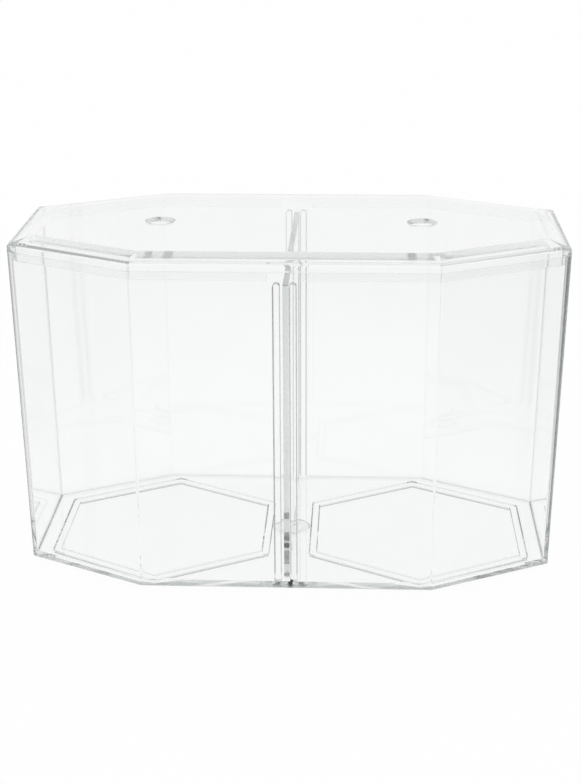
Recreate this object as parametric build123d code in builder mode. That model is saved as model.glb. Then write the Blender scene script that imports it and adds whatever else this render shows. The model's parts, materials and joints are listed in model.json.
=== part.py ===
from build123d import *
import math
import os

# Two-compartment fish tank: a clear moulded tank with eight walls, a lid with
# two feeding holes, and a loose divider sheet that slides between guide ribs.
# Millimetres. +X is the long way, -Y faces the viewer, +Z is up, and the
# origin lies on the table under the middle of the tank.

# Plan of the rim
rim_length = 216.0
rim_depth = 116.6
front_length = 116.2
corner_angle = 28.0
corner_round = 1.2
inner_round = 1.2

# Tank walls and floor
tank_height = 131.4
wall = 2.2
floor_thickness = 2.2
draft = 1.1
heel_round = 0.5
floor_round = 0.8

# Hexagonal foot ring under each compartment
foot_height = 1.8
foot_spacing = 105.5
foot_across_flats = 89.4
foot_width = 3.5
foot_draft = 15.0

# Guide ribs that hold the divider
rib_width = 2.9
rib_gap = 3.3
rib_depth = 3.6
rib_below_rim = 4.8
rib_tip_round = 0.5

# Gate well in the middle of the floor
pad_diameter = 16.2
pad_flat_diameter = 9.0
pad_height = 1.3
well_diameter = 13.0
well_depth = 1.2
gate_diameter = 2.6
gate_height = 0.7
gate_taper = 8.0

# Divider sheet
divider_thickness = 2.2
divider_below_rim = 5.5
divider_edge_gap = 0.4
divider_shift = 0.4
divider_corner = 1.5
slot_length = 11.0
slot_height = 3.4
slot_count = 3
slot_pitch = 35.5
slot_rise = 4.8

# Lid
lid_side_height = 2.9
crown_height = 5.2
crown_inset = 9.5
crown_round = 7.0
lid_thickness = 2.0
crown_soften = 12.0
shoulder_round = 1.0
skirt_drop = 3.6
skirt_thickness = 1.6
skirt_fit = 0.3
skirt_notch = 13.0
notch_round = 1.5
hole_diameter = 12.0
hole_spacing = 104.6
bead_length = 6.4
bead_height = 1.0
bead_proud = 0.2
bead_spacing = 80.0
bead_rise = 0.3

# Sizes worked out from the ones above
half_length = rim_length / 2
half_depth = rim_depth / 2
half_front = front_length / 2
cut_depth = (half_length - half_front) * math.tan(math.radians(corner_angle))
half_side = half_depth - cut_depth
slope = math.tan(math.radians(draft))
floor_top = foot_height + floor_thickness
pad_top = floor_top + pad_height
rib_tip = wall + rib_depth
rib_straight = tank_height - rib_below_rim - rib_width / 2 - foot_height - floor_thickness / 2
divider_top = tank_height - divider_below_rim
skirt_outer = wall + skirt_fit
skirt_inner = skirt_outer + skirt_thickness
bead_face = half_depth - skirt_outer
bead_root = half_depth - skirt_inner
bead_low = tank_height - skirt_drop + bead_rise
crown_slope = (crown_height - lid_side_height) / crown_inset
hollow_shoulder = lid_side_height + crown_slope * skirt_inner - lid_thickness
hollow_crown = crown_height - lid_thickness
hollow_inset = skirt_inner + (hollow_crown - hollow_shoulder) / crown_slope
meeting_height = tank_height + hollow_shoulder

# Corners of the plan: a long rectangle whose four corners are cut at an angle
plan_corners = [
    (half_front, half_depth),
    (half_length, half_side),
    (half_length, -half_side),
    (half_front, -half_depth),
    (-half_front, -half_depth),
    (-half_length, -half_side),
    (-half_length, half_side),
    (-half_front, half_depth),
]


def plan(inset, rounding):
    """The rim's eight-sided outline, moved inwards by inset, with round corners."""
    with BuildSketch() as outline:
        Polygon(*plan_corners, align=None)
        if inset > 0:
            offset(amount=-inset, kind=Kind.INTERSECTION, mode=Mode.REPLACE)
        if rounding > 0:
            fillet(outline.vertices(), radius=rounding)
    return outline.sketch


def is_upright(edge):
    """True for the edges that run up the drafted corners."""
    return abs(edge.tangent_at(0.5).Z) > 0.9


def depth_at(height, inset):
    """Half the depth between the drafted long walls at a height, less an inset."""
    return half_depth - (tank_height - height) * slope - inset


def is_rib_tip(face):
    """True for the narrow faces that the guide ribs turn to each other."""
    tip = depth_at(face.center().Z, rib_tip)
    beside = abs(face.center().X) < rib_gap / 2 + rib_width
    return beside and abs(abs(face.center().Y) - tip) < rib_tip_round


rim_plan = plan(0, 0)
cavity_plan = plan(wall, 0)
lid_plan = plan(0, corner_round)
crown_plan = plan(crown_inset, crown_round)
seat_plan = plan(skirt_outer, inner_round)
hollow_plan = plan(skirt_inner, inner_round)
ceiling_plan = plan(hollow_inset, crown_round)

# A plane inside the front wall, leaning with its draft, that looks into the tank
front_wall = Plane(
    origin=(0, -(half_depth - wall / 2), tank_height),
    x_dir=(-1, 0, 0),
    z_dir=(0, 1, slope),
)

# Tank: eight drafted walls, floor, guide ribs, foot rings and gate well
with BuildPart() as tank:
    with BuildSketch(Plane.XY.offset(tank_height)):
        add(rim_plan)
    extrude(amount=-(tank_height - foot_height), taper=draft)
    fillet(tank.edges().filter_by(is_upright), radius=corner_round)
    fillet(tank.faces().sort_by(Axis.Z)[0].edges(), radius=heel_round)

    # The cavity keeps the walls one thickness all the way down
    with BuildSketch(Plane.XY.offset(tank_height)):
        add(cavity_plan)
    extrude(amount=-(tank_height - floor_top), taper=draft, mode=Mode.SUBTRACT)
    fillet(tank.edges(Select.LAST).filter_by(is_upright), radius=inner_round)
    floor_faces = tank.faces().filter_by(Plane.XY).sort_by(SortBy.AREA)[-2:]
    fillet(floor_faces.sort_by(Axis.Z)[-1].edges(), radius=floor_round)

    # Two ribs with round tops on the front wall, and the same on the back wall
    with BuildSketch(front_wall):
        with Locations((0, -rib_below_rim - rib_width / 2)):
            with GridLocations(rib_gap + rib_width, 0, 2, 1):
                Circle(rib_width / 2)
                Rectangle(rib_width, rib_straight, align=(Align.CENTER, Align.MAX))
    ribs = extrude(amount=wall / 2 + rib_depth)
    mirror(ribs, about=Plane.XZ)
    for rib_face in tank.faces().filter_by(is_rib_tip):
        fillet(rib_face.edges().sort_by(Axis.Z)[1:], radius=rib_tip_round)

    # A hexagonal foot ring under each compartment, corners to front and back
    with BuildSketch(Plane.XY.offset(foot_height)):
        with GridLocations(foot_spacing, 0, 2, 1):
            RegularPolygon(foot_across_flats / 2, 6, major_radius=False, rotation=30)
    extrude(amount=-foot_height, taper=foot_draft)
    with BuildSketch(Plane.XY.offset(foot_height)):
        with GridLocations(foot_spacing, 0, 2, 1):
            RegularPolygon(foot_across_flats / 2 - foot_width, 6, major_radius=False, rotation=30)
    extrude(amount=-foot_height, taper=-foot_draft, mode=Mode.SUBTRACT)

    # The gate well: a round pad that swells up inside the tank
    with BuildSketch(Plane.XZ):
        with BuildLine():
            rise = Line((0, floor_top - floor_thickness / 2), (0, pad_top))
            top = Line(rise @ 1, (pad_flat_diameter / 2, pad_top))
            shoulder = TangentArc(top @ 1, (pad_diameter / 2, floor_top), tangent=top % 1)
            side = Line(shoulder @ 1, (pad_diameter / 2, floor_top - floor_thickness / 2))
            Line(side @ 1, rise @ 0)
        make_face()
    revolve(axis=Axis.Z)

    # Under the pad the floor is dished, with the gate's small pip in the dish
    with BuildSketch(Plane.XZ):
        with BuildLine():
            axis_line = Line((0, foot_height), (0, foot_height + well_depth))
            dish = TangentArc(axis_line @ 1, (well_diameter / 2, foot_height), tangent=(1, 0))
            Line(dish @ 1, axis_line @ 0)
        make_face()
    revolve(axis=Axis.Z, mode=Mode.SUBTRACT)
    with BuildSketch(Plane.XY.offset(foot_height + well_depth + pad_height / 2)):
        Circle(gate_diameter / 2)
    extrude(amount=-(gate_height + pad_height / 2), taper=gate_taper)

tank.part.label = "tank"

# Lid: a crowned plate with a skirt that drops inside the tank
with BuildPart() as lid:
    with BuildSketch(Plane.XY.offset(tank_height)):
        add(lid_plan)
    extrude(amount=lid_side_height)
    with BuildSketch(Plane.XY.offset(tank_height + lid_side_height)):
        add(lid_plan)
    with BuildSketch(Plane.XY.offset(tank_height + crown_height)):
        add(crown_plan)
    loft(ruled=True)
    fillet(lid.edges().filter_by(Plane.XY).group_by(Axis.Z)[-1], radius=crown_soften)
    fillet(lid.edges().filter_by(Plane.XY).group_by(Axis.Z)[1], radius=shoulder_round)

    # The skirt locates the lid inside the rim
    with BuildSketch(Plane.XY.offset(tank_height)):
        add(seat_plan)
    extrude(amount=-skirt_drop)

    # The underside is hollow and follows the crown
    with BuildSketch(Plane.XY.offset(tank_height - skirt_drop)):
        add(hollow_plan)
    extrude(amount=skirt_drop + hollow_shoulder, mode=Mode.SUBTRACT)
    with BuildSketch(Plane.XY.offset(tank_height + hollow_shoulder)):
        add(hollow_plan)
    with BuildSketch(Plane.XY.offset(tank_height + hollow_crown)):
        add(ceiling_plan)
    loft(ruled=True, mode=Mode.SUBTRACT)

    # The skirt is notched front and back, over the divider and its ribs
    with BuildSketch(Plane.XZ) as notch:
        with Locations((0, tank_height)):
            Rectangle(skirt_notch, skirt_drop * 2, align=(Align.CENTER, Align.MAX))
        fillet(notch.vertices().group_by(Axis.Y)[-1], radius=notch_round)
    extrude(amount=half_depth, both=True, mode=Mode.SUBTRACT)

    # Low beads on the skirt, two in front and two behind, press on the tank's walls
    with BuildSketch(Plane.YZ.offset(-bead_spacing / 2), Plane.YZ.offset(bead_spacing / 2)):
        with BuildLine():
            swell = SagittaArc((bead_face, bead_low), (bead_face, bead_low + bead_height), -bead_proud)
            Polyline(swell @ 1, (bead_root, bead_low + bead_height), (bead_root, bead_low), swell @ 0)
        make_face()
        mirror(about=Plane.YZ)
    extrude(amount=bead_length / 2, both=True)

    # Two round feeding holes, one over each compartment
    with Locations(Plane.XY.offset(tank_height + crown_height)):
        with GridLocations(hole_spacing, 0, 2, 1):
            Hole(hole_diameter / 2)

# The lid is one moulding, kept as two pieces that meet face to face, level with the
# top of its inner wall: the crowned plate, and the rim below it with the skirt
meeting_plane = Plane.XY.offset(meeting_height)

with BuildPart() as lid_plate:
    add(lid.part)
    split(bisect_by=meeting_plane, keep=Keep.TOP)

lid_plate.part.label = "lid_plate"

with BuildPart() as lid_rim:
    add(lid.part)
    split(bisect_by=meeting_plane, keep=Keep.BOTTOM)

lid_rim.part.label = "lid_rim"

# Divider: a thin clear sheet with a row of water slots low down
with BuildPart() as divider:
    with BuildSketch(Plane.YZ.offset(divider_shift)) as sheet:
        top_half = depth_at(divider_top, wall + divider_edge_gap)
        bottom_half = depth_at(pad_top, wall + divider_edge_gap)
        Polygon((-bottom_half, pad_top), (bottom_half, pad_top), (top_half, divider_top),
                (-top_half, divider_top), align=None)
        fillet(sheet.vertices(), radius=divider_corner)
        with Locations((0, pad_top + slot_rise)):
            with GridLocations(slot_pitch, 0, slot_count, 1):
                SlotOverall(slot_length, slot_height, mode=Mode.SUBTRACT)
    extrude(amount=divider_thickness / 2, both=True)

divider.part.label = "divider"

os.makedirs("parts", exist_ok=True)
export_step(tank.part, "parts/tank.step")
export_step(lid_plate.part, "parts/lid_plate.step")
export_step(lid_rim.part, "parts/lid_rim.step")
export_step(divider.part, "parts/divider.step")
print("tank volume cm3", round(tank.part.volume / 1000, 1))
print("lid plate volume cm3", round(lid_plate.part.volume / 1000, 1))
print("lid rim volume cm3", round(lid_rim.part.volume / 1000, 1))
print("divider volume cm3", round(divider.part.volume / 1000, 1))
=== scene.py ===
# %% [markdown]
# A small fish tank, moulded in clear plastic: a tank with eight walls, a loose lid
# with two feeding holes, and a clear divider sheet that stands between guide ribs.
# Nothing on it is painted or opaque, so this lesson is about clear plastic: how to
# keep its surfaces clean enough to refract, and how to light it so that it reads.
# Blender measures in metres. A tank is easier to think of in millimetres, so mm is a
# name for one of them.

# %% Load the frame
import json
import math
import bpy
from mathutils import Matrix, Vector


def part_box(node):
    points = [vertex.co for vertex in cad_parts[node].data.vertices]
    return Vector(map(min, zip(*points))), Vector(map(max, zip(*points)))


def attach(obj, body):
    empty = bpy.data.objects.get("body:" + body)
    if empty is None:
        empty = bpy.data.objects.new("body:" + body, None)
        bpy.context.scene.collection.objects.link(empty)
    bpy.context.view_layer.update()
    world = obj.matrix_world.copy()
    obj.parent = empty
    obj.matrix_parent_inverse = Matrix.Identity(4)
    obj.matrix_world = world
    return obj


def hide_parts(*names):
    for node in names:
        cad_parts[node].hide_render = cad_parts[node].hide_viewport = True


mm = 0.001
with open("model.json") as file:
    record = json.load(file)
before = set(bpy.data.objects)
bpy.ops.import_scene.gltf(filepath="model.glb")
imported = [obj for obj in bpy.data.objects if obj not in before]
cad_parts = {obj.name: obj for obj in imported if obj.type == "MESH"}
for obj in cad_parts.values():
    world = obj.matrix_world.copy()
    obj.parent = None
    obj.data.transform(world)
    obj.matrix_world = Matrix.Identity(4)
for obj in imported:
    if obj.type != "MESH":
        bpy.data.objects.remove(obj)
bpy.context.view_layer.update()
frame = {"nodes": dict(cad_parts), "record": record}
print("nodes:", sorted(frame["nodes"]))

# %% [markdown]
# The loader leaves its objects selected, and an operator works on all that is selected,
# so each step starts by putting the selection down.

# %% Two helpers
def put_down():
    """Leave edit mode and deselect everything."""
    if bpy.context.object and bpy.context.object.mode != "OBJECT":
        bpy.ops.object.mode_set(mode="OBJECT")
    bpy.ops.object.select_all(action="DESELECT")


def pick(*pieces):
    """Select these objects only, the last one active."""
    put_down()
    for piece in pieces:
        piece.select_set(True)
    bpy.context.view_layer.objects.active = pieces[-1]


put_down()
print("selected:", len(bpy.context.selected_objects))

# %% [markdown]
# The lid is one moulding, a crowned plate with a thin skirt below it. The frame holds
# it as two solids that touch face to face. In clear plastic such a seam would show as
# a bright line right through the lid, because light bends wherever a surface is. So
# both solids are copied, joined, and the two faces that touch are taken away.
# A first step copies one solid and welds its loose triangles into a skin.

# %% Weld a copy of a solid
weld_gap = 0.002 * mm


def welded(node, name):
    """A copy of a solid's mesh with its loose triangles welded together."""
    put_down()
    piece = bpy.data.objects.new(name, frame["nodes"][node].data.copy())
    bpy.context.scene.collection.objects.link(piece)
    pick(piece)
    bpy.ops.mesh.customdata_custom_splitnormals_clear()
    bpy.ops.object.mode_set(mode="EDIT")
    bpy.ops.mesh.select_all(action="SELECT")
    bpy.ops.mesh.remove_doubles(threshold=weld_gap)
    bpy.ops.mesh.select_mode(type="FACE")
    bpy.ops.mesh.select_all(action="DESELECT")
    bpy.ops.object.mode_set(mode="OBJECT")
    print(name, "has", len(piece.data.polygons), "triangles")
    return piece


lid = welded("lid_plate", "lid_clear_moulding")
lid_lower = welded("lid_rim", "lid_lower")
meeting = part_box("lid_plate")[0][2]
print("the two meet at", round(meeting / mm, 2), "mm")

# %% [markdown]
# The faces that touch are easy to find: they are flat, level and all at the meeting
# height. They are selected by place, deleted, and the open edges are welded. A face
# counts as level where its normal is nearly upright, and as at that height where it is
# less than a hair away.

# %% Take the seam out
level = 0.99
hair = 0.01 * mm
seam_gap = 0.02 * mm
pick(lid_lower, lid)
bpy.ops.object.join()
for face in lid.data.polygons:
    face.select = abs(face.normal.z) > level and abs(face.center.z - meeting) < hair
print("faces in the seam:", sum(face.select for face in lid.data.polygons))
bpy.ops.object.mode_set(mode="EDIT")
bpy.ops.mesh.delete(type="FACE")
bpy.ops.mesh.select_all(action="SELECT")
bpy.ops.mesh.remove_doubles(threshold=seam_gap)
bpy.ops.mesh.select_all(action="DESELECT")
bpy.ops.mesh.select_mode(type="EDGE")
bpy.ops.mesh.select_non_manifold()
bpy.ops.object.mode_set(mode="OBJECT")
print("open edges left:", sum(edge.select for edge in lid.data.edges))

# %% [markdown]
# The lid rests on the tank's rim. In the solids the two faces lie in one plane, and a
# ray that meets both at once can't tell plastic from plastic: it leaves a black line
# where the real lid shows a pale one. A real lid never touches all along, so its seat
# is lifted by a twentieth of a millimetre.

# %% Lift the lid's seat
seat_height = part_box("tank")[1][2]
seat_lift = 0.05 * mm
pick(lid)
for face in lid.data.polygons:
    face.select = face.normal.z < -level and abs(face.center.z - seat_height) < hair
print("faces in the seat:", sum(face.select for face in lid.data.polygons))
bpy.ops.object.mode_set(mode="EDIT")
bpy.ops.mesh.select_mode(type="FACE")
bpy.ops.transform.translate(value=(0, 0, seat_lift))
bpy.ops.object.mode_set(mode="OBJECT")

# %% [markdown]
# A clear piece shows its back through its front, so its shading has to be exact. Flat
# faces must stay flat and round edges round: edges that turn by more than 24 degrees
# are kept sharp, and a Weighted Normal modifier, set to follow the larger faces, stops
# the small fillets from bending the light on the flats beside them.

# %% Even out the lid's shading
flat_within = math.radians(0.3)
sharp_from = math.radians(24)
pick(lid)
bpy.ops.object.mode_set(mode="EDIT")
bpy.ops.mesh.select_mode(type="FACE")
bpy.ops.mesh.select_all(action="SELECT")
bpy.ops.mesh.dissolve_limited(angle_limit=flat_within)
bpy.ops.object.mode_set(mode="OBJECT")
bpy.ops.object.shade_smooth_by_angle(angle=sharp_from)
even = lid.modifiers.new("even", "WEIGHTED_NORMAL")
even.weight = 100
even.keep_sharp = True
bpy.ops.object.modifier_apply(modifier=even.name)
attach(lid, "lid")
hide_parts("lid_plate", "lid_rim")
print("lid moulding:", len(lid.data.polygons), "faces")

# %% [markdown]
# Polystyrene is as clear as glass and bends light a little more: its index is 1.59. A
# long way through it takes light away, which is why the edges of such a tank look grey
# while its walls can hardly be seen. In Blender that loss is a Volume Absorption
# shader, and it only works because each piece is a closed skin with real thickness.

# %% Clear moulded plastic
polystyrene_index = 1.59


def clear_plastic(name, tint, density):
    """Clear plastic: a glassy skin round a faintly grey inside."""
    made = bpy.data.materials.new(name)
    made.use_nodes = True
    nodes, links = made.node_tree.nodes, made.node_tree.links
    skin = nodes["Principled BSDF"]
    skin.inputs["Transmission Weight"].default_value = 1
    skin.inputs["IOR"].default_value = polystyrene_index
    inside = nodes.new("ShaderNodeVolumeAbsorption")
    inside.inputs["Color"].default_value = (*tint, 1)
    inside.inputs["Density"].default_value = density
    links.new(inside.outputs[0], nodes["Material Output"].inputs["Volume"])
    return made


tank_plastic = clear_plastic("clear tank plastic", tint=(0.80, 0.82, 0.82), density=14)
lid_plastic = clear_plastic("clear lid plastic", tint=(0.80, 0.82, 0.82), density=6)
sheet_plastic = clear_plastic("clear sheet plastic", tint=(0.78, 0.81, 0.81), density=7)
print("plastics:", [m.name for m in bpy.data.materials if m.name.startswith("clear")])

# %% [markdown]
# The finishes and the light below are small sums on places, so they need many nodes
# that are linked in the same way. Two helpers keep that short. A socket knows the node
# tree it belongs to, so the helpers find the tree by themselves.

# %% Helpers that feed and mix
def feed(socket, value):
    """Link a socket to another one, or give it a plain value."""
    if isinstance(value, bpy.types.NodeSocket):
        socket.id_data.links.new(value, socket)
    else:
        socket.default_value = value


def node_beside(kind, values):
    """A new node in the tree of the first socket among these values."""
    tree = next(value.id_data for value in values if isinstance(value, bpy.types.NodeSocket))
    return tree.nodes.new(kind)


def mixed(kind, share, first, second):
    """A Mix node that lays this share of the second value over the first."""
    values = (share, first, second)
    node = node_beside("ShaderNodeMix", values)
    node.data_type = kind
    for socket, value in zip([end for end in node.inputs if end.enabled], values):
        feed(socket, value)
    return [end for end in node.outputs if end.enabled][0]


# %% [markdown]
# A moulded face is never quite clean. A skin that is dull all over would look frosted,
# so only a faint haze goes on it, in patches a few centimetres wide that a noise in
# Object coordinates lays out. There the skin is a little rougher and a little darker.

# %% Haze
patch_scale = 35
haze_from, haze_full = 0.45, 0.75
haze_roughness = 0.02
clean, hazy = (0.992, 0.995, 0.995, 1), (0.97, 0.975, 0.975, 1)


def add_haze(plastic):
    """Patches of faint haze over the skin of a plastic."""
    nodes = plastic.node_tree.nodes
    place, patches = nodes.new("ShaderNodeTexCoord"), nodes.new("ShaderNodeTexNoise")
    feed(patches.inputs["Vector"], place.outputs["Object"])
    patches.inputs["Scale"].default_value = patch_scale
    patches.inputs["Detail"].default_value = 4
    rough = nodes.new("ShaderNodeMapRange")
    feed(rough.inputs["Value"], patches.outputs["Fac"])
    rough.inputs["From Min"].default_value = haze_from
    rough.inputs["From Max"].default_value = haze_full
    rough.inputs["To Max"].default_value = haze_roughness
    skin = nodes["Principled BSDF"]
    feed(skin.inputs["Roughness"], rough.outputs[0])
    feed(skin.inputs["Base Color"], mixed("RGBA", patches.outputs["Fac"], clean, hazy))


for plastic in (tank_plastic, lid_plastic, sheet_plastic):
    add_haze(plastic)
print("haze patches:", round(100 / patch_scale, 1), "cm wide")

# %% [markdown]
# It is never quite flat either. Real waves in the mesh would need many more faces, and
# a slow noise in the bump bends the light in the same way, so the ripple goes there.

# %% Ripple
wave_scale = 22
wave_height = 0.1 * mm
wave_strength = 0.1


def add_ripple(plastic):
    """The slow waves of a moulded face, in the bump of a plastic."""
    nodes = plastic.node_tree.nodes
    place, waves = nodes.new("ShaderNodeTexCoord"), nodes.new("ShaderNodeTexNoise")
    feed(waves.inputs["Vector"], place.outputs["Object"])
    waves.inputs["Scale"].default_value = wave_scale
    waves.inputs["Detail"].default_value = 1
    bump = nodes.new("ShaderNodeBump")
    feed(bump.inputs["Height"], waves.outputs["Fac"])
    bump.inputs["Strength"].default_value = wave_strength
    bump.inputs["Distance"].default_value = wave_height
    feed(nodes["Principled BSDF"].inputs["Normal"], bump.outputs["Normal"])


for plastic in (tank_plastic, lid_plastic, sheet_plastic):
    add_ripple(plastic)
print("waves:", round(100 / wave_scale, 1), "cm long")

# %% [markdown]
# The tank and the sheet are single pieces on the real object and single solids in the
# frame, so they are shown as they are, and only their material is new. The welded lid
# gets its own plastic too.

# %% Give each piece its plastic
for piece, plastic in ((frame["nodes"]["tank"], tank_plastic), (lid, lid_plastic),
                       (frame["nodes"]["divider"], sheet_plastic)):
    piece.data.materials.clear()
    piece.data.materials.append(plastic)
    print(piece.name, "is made of", plastic.name)

# %% [markdown]
# The real tank shows dark or grey lines along some edges, and evenly clear plastic draws them
# too faintly here. They are shade that clear plastic makes at its edges, so they are painted in
# as shade. Whether those edges are dull or only bend something dark into view can't be told, so
# this is a stand-in: each place is described by simple sums on the Object coordinates, and the
# plastic is made darker and rougher there. A mask is such a sum that comes out as 1 at the
# place and 0 elsewhere. First come the helpers that write the sums, and last the one that lays
# the painted shade and the rougher finish over the clear one.

# %% Helpers for painted shade on edges
def place_in(tree, kind="Object"):
    """The sideways, front-to-back and upward part of a place or of a direction."""
    place, parts = tree.nodes.new("ShaderNodeTexCoord"), tree.nodes.new("ShaderNodeSeparateXYZ")
    feed(parts.inputs[0], place.outputs[kind])
    return parts.outputs


def sum_of(kind, *values):
    """A Math node of one kind, fed by sockets or plain numbers."""
    node = node_beside("ShaderNodeMath", values)
    node.operation = kind
    for socket, value in zip(node.inputs, values):
        feed(socket, value)
    return node.outputs[0]


def within(value, low, high):
    """1 where a value lies between two limits, and 0 elsewhere."""
    return sum_of("COMPARE", value, (low + high) / 2, (high - low) / 2)


def far_from(first, second):
    """The distance from a line, worked out from its two parts."""
    return sum_of("SQRT", sum_of("ADD", sum_of("MULTIPLY", first, first),
                                 sum_of("MULTIPLY", second, second)))


def paint_shade_and_dull(plastic, masks, grey, roughness):
    """Paint shade into the plastic's colour, and make it rougher, where all the masks are 1."""
    skin = plastic.node_tree.nodes["Principled BSDF"]
    where = masks[0]
    for mask in masks[1:]:
        where = sum_of("MULTIPLY", where, mask)
    for name, kind, value in (("Base Color", "RGBA", (grey, grey, grey, 1)),
                              ("Roughness", "FLOAT", roughness)):
        clear = skin.inputs[name].links[0].from_socket
        feed(skin.inputs[name], mixed(kind, where, clear, value))


# %% [markdown]
# The divider is a sheet with cut edges: all that lies between its two large faces. They are
# duller than its faces, and a soft grey of painted shade goes on them as well. The real sheet
# also has four dark marks low on its front edge, where light is lost inside it. Nothing in the
# sheet's shape draws them there, so they are only painted in as shade, at their heights.

# %% The sheet's cut edges
sheet_low, sheet_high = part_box("divider")
sheet_middle = (sheet_low[0] + sheet_high[0]) / 2
cut_half = (sheet_high[0] - sheet_low[0]) / 2 - 0.05 * mm
front_strip = -51 * mm
shade_marks_mm = ((6.5, 7.7), (11.6, 17.7), (21.9, 25.6), (31.2, 34.0))
x, y, z = place_in(sheet_plastic.node_tree)
cut_edge = within(x, sheet_middle - cut_half, sheet_middle + cut_half)
# Painted shade: a soft grey on the cut edges, which are made rougher too
paint_shade_and_dull(sheet_plastic, [cut_edge], grey=0.9, roughness=0.12)
front_edge = sum_of("LESS_THAN", y, front_strip)
# Painted shade: dark marks low on the sheet's front edge
for low, high in shade_marks_mm:
    shade_mark = within(z, low * mm, high * mm)
    paint_shade_and_dull(sheet_plastic, [cut_edge, front_edge, shade_mark], grey=0.2, roughness=0.2)
print("marks on the sheet's front edge:", len(shade_marks_mm))

# %% [markdown]
# The guide ribs stand on the walls, 3.1 mm either side of the middle, and show as dark hairpin
# lines. Their flanks get painted shade for that, and a rougher skin. All walls lean inwards
# from the rim down, by 1.1 degrees, so the place of a wall is found by adding the lean back.

# %% The ribs' flanks, with painted shade
half_length, half_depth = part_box("tank")[1][:2]
wall = 2.2 * mm
wall_slope = math.tan(math.radians(1.1))
rib_middle = 3.1 * mm
flank_low, flank_high = 1.0 * mm, 1.5 * mm
wall_inside = half_depth - wall - 0.3 * mm
above_floor = 6 * mm
x, y, z = place_in(tank_plastic.node_tree)
lean = sum_of("MULTIPLY", sum_of("SUBTRACT", seat_height, z), wall_slope)
across, along = sum_of("ABSOLUTE", x), sum_of("ABSOLUTE", y)
from_rib = sum_of("ABSOLUTE", sum_of("SUBTRACT", across, rib_middle))
flank = within(from_rib, flank_low, flank_high)
off_wall = sum_of("LESS_THAN", sum_of("ADD", along, lean), wall_inside)
off_floor = sum_of("GREATER_THAN", z, above_floor)
# Painted shade on the rib flanks, off the walls and above the floor
paint_shade_and_dull(tank_plastic, [flank, off_wall, off_floor], grey=0.35, roughness=0.1)
print("lean at the foot:", round(seat_height * wall_slope / mm, 1), "mm")

# %% [markdown]
# The upright corners at the tank's ends draw its outline. All four get the same painted shade,
# since the tank is the same in front and behind. The mask is the distance from the upright line
# in which the two faces would meet. That line leans too: where both faces move in by some
# distance, a corner of 62 degrees slides along by tan 31 times as much.

# %% The upright end corners
half_end = 31.8 * mm
corner_turn = math.radians(62)
corner_reach = 1.4 * mm
from_end = sum_of("SUBTRACT", half_length, sum_of("ADD", across, lean))
slide = sum_of("MULTIPLY", lean, math.tan(corner_turn / 2))
from_side = sum_of("ADD", along, sum_of("SUBTRACT", slide, half_end))
near_corner = sum_of("LESS_THAN", far_from(from_end, from_side), corner_reach)
# Painted shade along the four upright end corners
paint_shade_and_dull(tank_plastic, [near_corner], grey=0.7, roughness=0.08)
print("end corners at", round(half_length / mm, 1), "and", round(half_end / mm, 1), "mm")

# %% [markdown]
# Under each compartment a six-sided ring stands on the paper. It shows through the floor as two
# soft grey lines, so the foot of each flank gets painted shade. A six-sided distance is the
# greater of two: the one sideways, and the one along a line turned by 60 degrees.

# %% The foot rings' flanks
ring_middle = 52.75 * mm
ring_inner, ring_outer = 41.2 * mm, 44.7 * mm
from_flank, to_flank = 0.2 * mm, 0.55 * mm
foot_height = 0.7 * mm
sixth = math.radians(60)
out = sum_of("ABSOLUTE", sum_of("SUBTRACT", across, ring_middle))
slanted = sum_of("ADD", sum_of("MULTIPLY", out, math.cos(sixth)),
                 sum_of("MULTIPLY", along, math.sin(sixth)))
ring = sum_of("MAXIMUM", out, slanted)
foot = sum_of("LESS_THAN", z, foot_height)
# Painted shade at the foot of each ring's inner and outer flank
for low, high in ((ring_inner + from_flank, ring_inner + to_flank),
                  (ring_outer - to_flank, ring_outer - from_flank)):
    paint_shade_and_dull(tank_plastic, [within(ring, low, high), foot], grey=0.5, roughness=0.12)
print("foot ring:", round((ring_outer - ring_inner) / mm, 1), "mm wide")

# %% [markdown]
# The tank's lower edge is a thick corner of plastic, where the floor meets the walls, and it
# shows as a soft grey band all round, painted in here as shade. Above the feet and below the
# floor's upper side there are only the outside of the walls and the small well in the middle of
# the floor, so two heights are enough for a mask.

# %% The lower edge
feet_top, floor_top = 1.8 * mm, 4.0 * mm
lower_edge = within(z, feet_top + 0.1 * mm, floor_top - 0.3 * mm)
# Painted shade: a soft grey band round the tank's lower edge
paint_shade_and_dull(tank_plastic, [lower_edge], grey=0.82, roughness=0.12)
print("nodes in the tank's plastic:", len(tank_plastic.node_tree.nodes))

# %% [markdown]
# The far wall of each feeding hole shows as a dark crescent, so the holes' walls get painted
# shade: all that lies about one radius from the middle of a hole. The record that comes with
# the frame says where the holes are.

# %% The holes' walls
mounts = {mount["name"]: mount for mount in frame["record"]["mounts"]}
hole_middle = mounts["feeding_hole_right"]["pos_m"][0]
hole_radius = mounts["feeding_hole_right"]["dims"]["r_mm"] * mm
x, y = place_in(lid_plastic.node_tree)[:2]
off_middle = sum_of("SUBTRACT", sum_of("ABSOLUTE", x), hole_middle)
hole_wall = within(far_from(off_middle, y), hole_radius - 0.3 * mm, hole_radius + 0.1 * mm)
# Painted shade on the walls of the feeding holes
paint_shade_and_dull(lid_plastic, [hole_wall], grey=0.75, roughness=0.1)
print("feeding holes:", round(hole_middle / mm, 1), "mm either side of the middle")

# %% [markdown]
# The tank stands on white paper. A studio would bend the paper up behind the tank. Here
# the camera looks down, so a flat sheet fills the picture, if it is wide enough for its
# end to stay out of view.

# %% White paper
paper_size = 60
below_feet = 0.2 * mm
bpy.ops.mesh.primitive_plane_add(size=paper_size, location=(0, 0, -below_feet))
paper = bpy.context.object
paper.name = "white_paper"
matt_paper = bpy.data.materials.new("matt white paper")
matt_paper.use_nodes = True
matt_paper.node_tree.nodes.clear()
paper.data.materials.append(matt_paper)
print("paper:", [round(v, 1) for v in paper.dimensions], "m")

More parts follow.
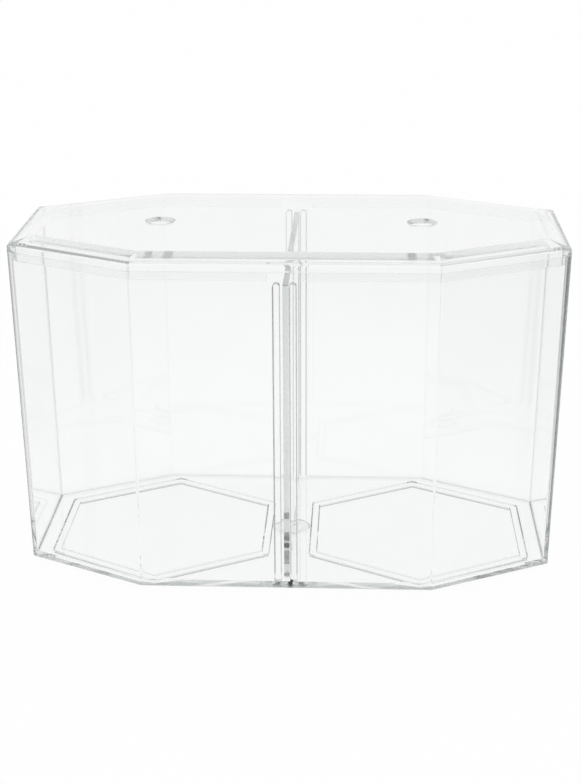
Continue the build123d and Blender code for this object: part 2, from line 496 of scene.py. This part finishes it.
# %% [markdown]
# The paper is white under the tank and behind it, and falls off to a pale grey on the left, on
# the right and in front. This is painted light and shade in the paper's colour, a pool of light
# around the tank. Clear walls mirror that grey a little, and so each wall gets its own tone.
# How wide the white part is, and how grey the rest, was found by comparing renders with the
# photograph. All of it is in metres here.

# %% Where painted shade turns the paper grey
half_beside, widening, drift = 0.12, 0.18, 0.045
front_end = -0.2
soft_edge = 0.3
painted_shade_left, more_shade_at_right = 0.3, 0.2
x, y = place_in(matt_paper.node_tree)[:2]
# Behind the tank the white part gets wider and drifts to the left
white_half = sum_of("ADD", sum_of("MULTIPLY", y, widening), half_beside)
from_middle = sum_of("ABSOLUTE", sum_of("ADD", x, sum_of("MULTIPLY", y, drift)))
beside = sum_of("SUBTRACT", from_middle, white_half)
outside = sum_of("MAXIMUM", beside, sum_of("SUBTRACT", front_end, y))
falloff = matt_paper.node_tree.nodes.new("ShaderNodeMapRange")
falloff.interpolation_type = "SMOOTHSTEP"
falloff.inputs["From Max"].default_value = soft_edge
feed(falloff.inputs["Value"], outside)
# 0 straight in front, behind and on the left, and 1 straight to the right
round_about = sum_of("ADD", sum_of("ABSOLUTE", x), sum_of("ABSOLUTE", y))
to_right = sum_of("MAXIMUM", sum_of("DIVIDE", x, round_about), 0)
deepest_painted_shade = sum_of("ADD", sum_of("MULTIPLY", to_right, more_shade_at_right), painted_shade_left)
painted_shade_share = sum_of("MULTIPLY", falloff.outputs[0], deepest_painted_shade)
# Painted light and shade: white near the tank, greyer further out
painted_paper_light = mixed("RGBA", painted_shade_share, (1, 1, 1, 1), (0, 0, 0, 1))
print("palest and darkest paper: 1 and", round(1 - painted_shade_left - more_shade_at_right, 2))

# %% [markdown]
# Lit from above, white paper comes out a light grey, so most of its colour is its own
# light wherever it is seen. The rest is plain matt paint, which keeps the tank's shadow.
# Light Path says what kind of ray has hit the paper. Its own light is shown to the
# camera, to reflections and to light that has come through the plastic, and hidden
# from the paper's matt lighting, where it would count twice.

# %% The paper's own light
own_light = 0.97
nodes = matt_paper.node_tree.nodes
ray = nodes.new("ShaderNodeLightPath")
seen = sum_of("MAXIMUM", ray.outputs["Is Camera Ray"], ray.outputs["Is Glossy Ray"])
seen = sum_of("MAXIMUM", seen, ray.outputs["Is Transmission Ray"])
matt, glow = nodes.new("ShaderNodeBsdfDiffuse"), nodes.new("ShaderNodeEmission")
# Both shaders take the paper's colour, with its painted light and shade
for shader in (matt, glow):
    feed(shader.inputs["Color"], painted_paper_light)
both, surface = nodes.new("ShaderNodeMixShader"), nodes.new("ShaderNodeOutputMaterial")
for socket, value in zip(both.inputs, (sum_of("MULTIPLY", seen, own_light),
                                       matt.outputs[0], glow.outputs[0])):
    feed(socket, value)
feed(surface.inputs[0], both.outputs[0])
print("nodes in the paper:", len(nodes))

# %% [markdown]
# The room is a world of soft light. A world is asked for its light by direction, and a
# colour ramp over one part of the direction sets it: the upward part for the height,
# the sideways part for left and right.

# %% Helpers for the light
def rise(angle):
    """The upward part of a direction that rises by this angle."""
    return math.sin(math.radians(angle))


def tones(socket, steps):
    """A colour ramp over one part of the direction, from -1 to 1."""
    spread, ramp = (socket.id_data.nodes.new(kind) for kind in
                    ("ShaderNodeMapRange", "ShaderNodeValToRGB"))
    spread.inputs["From Min"].default_value = -1
    feed(spread.inputs["Value"], socket)
    feed(ramp.inputs[0], spread.outputs[0])
    stops = ramp.color_ramp.elements
    while len(stops) < len(steps):
        stops.new(0.5)
    for stop, (part, tone) in zip(stops, steps):
        stop.position = (part + 1) / 2
        stop.color = (tone, tone, tone, 1)
    return ramp.outputs["Color"]


print("a direction that rises by 30 degrees has the upward part", round(rise(30), 2))

# %% [markdown]
# The light is bright behind the tank and overhead, dim low down at the left and less so
# at the right. Clear plastic has no colour of its own. Its edges are drawn by what they
# bend into view, and the dim sides draw them. These levels too come from comparing
# renders with the photograph, partly with a least-squares fit, and from rounding.

# %% Soft studio light
bright, softer = 0.93, 0.8
by_height = [(rise(2), bright), (rise(34), bright), (rise(40), softer), (rise(58), softer),
             (rise(64), bright)]
low_sides = [(-0.88, 0.35), (-0.7, 1.0), (0.7, 1.0), (0.88, 0.65)]
high_part = [(rise(14), 0), (rise(24), 1)]
room = bpy.data.worlds.new("soft studio")
bpy.context.scene.world = room
room.use_nodes = True
way = place_in(room.node_tree, "Generated")
sides = mixed("RGBA", tones(way["Z"], high_part), tones(way["X"], low_sides), (1, 1, 1, 1))
light = mixed("RGBA", 1, tones(way["Z"], by_height), sides)
light.node.blend_type = "MULTIPLY"
feed(room.node_tree.nodes["Background"].inputs["Color"], light)
print("light by height:", [(round(part, 2), tone) for part, tone in by_height])

# %% [markdown]
# The camera stands where a fit to the photograph's corners puts it: over half a metre
# in front of the tank, slightly to the right, looking down on it by twenty degrees.

# %% Camera
lens_mm, sensor_mm = 73.06, 36
stand = Vector((27.65, -620.05, 288.06)) * mm
turn, tilt, roll = 2.606, 19.845, -0.231
view = bpy.data.cameras.new("camera")
camera = bpy.data.objects.new("camera", view)
bpy.context.scene.collection.objects.link(camera)
view.lens = lens_mm
view.sensor_width = sensor_mm
view.clip_start = 10 * mm
camera.matrix_world = (
    Matrix.Translation(stand)
    @ Matrix.Rotation(math.radians(turn), 4, "Z")
    @ Matrix.Rotation(math.radians(90 - tilt), 4, "X")
    @ Matrix.Rotation(math.radians(roll), 4, "Z")
)
bpy.context.scene.camera = camera
print("camera to tank:", round(camera.location.length, 3), "m")

# %% [markdown]
# The lid is only two millimetres thick, and light that enters it at its crown's edge is turned
# back and forth between its two faces before it gets out. With only 32 turns allowed, many rays
# are cut short and come out black, as a dark band along the crown. With 256 that band comes out
# pale, so the limits on turns are raised to that.

# %% Turns of light, and the end
turns = 256
scene = bpy.context.scene
scene.view_settings.view_transform = "Standard"
scene.cycles.max_bounces = turns
scene.cycles.transmission_bounces = turns
scene.cycles.glossy_bounces = turns
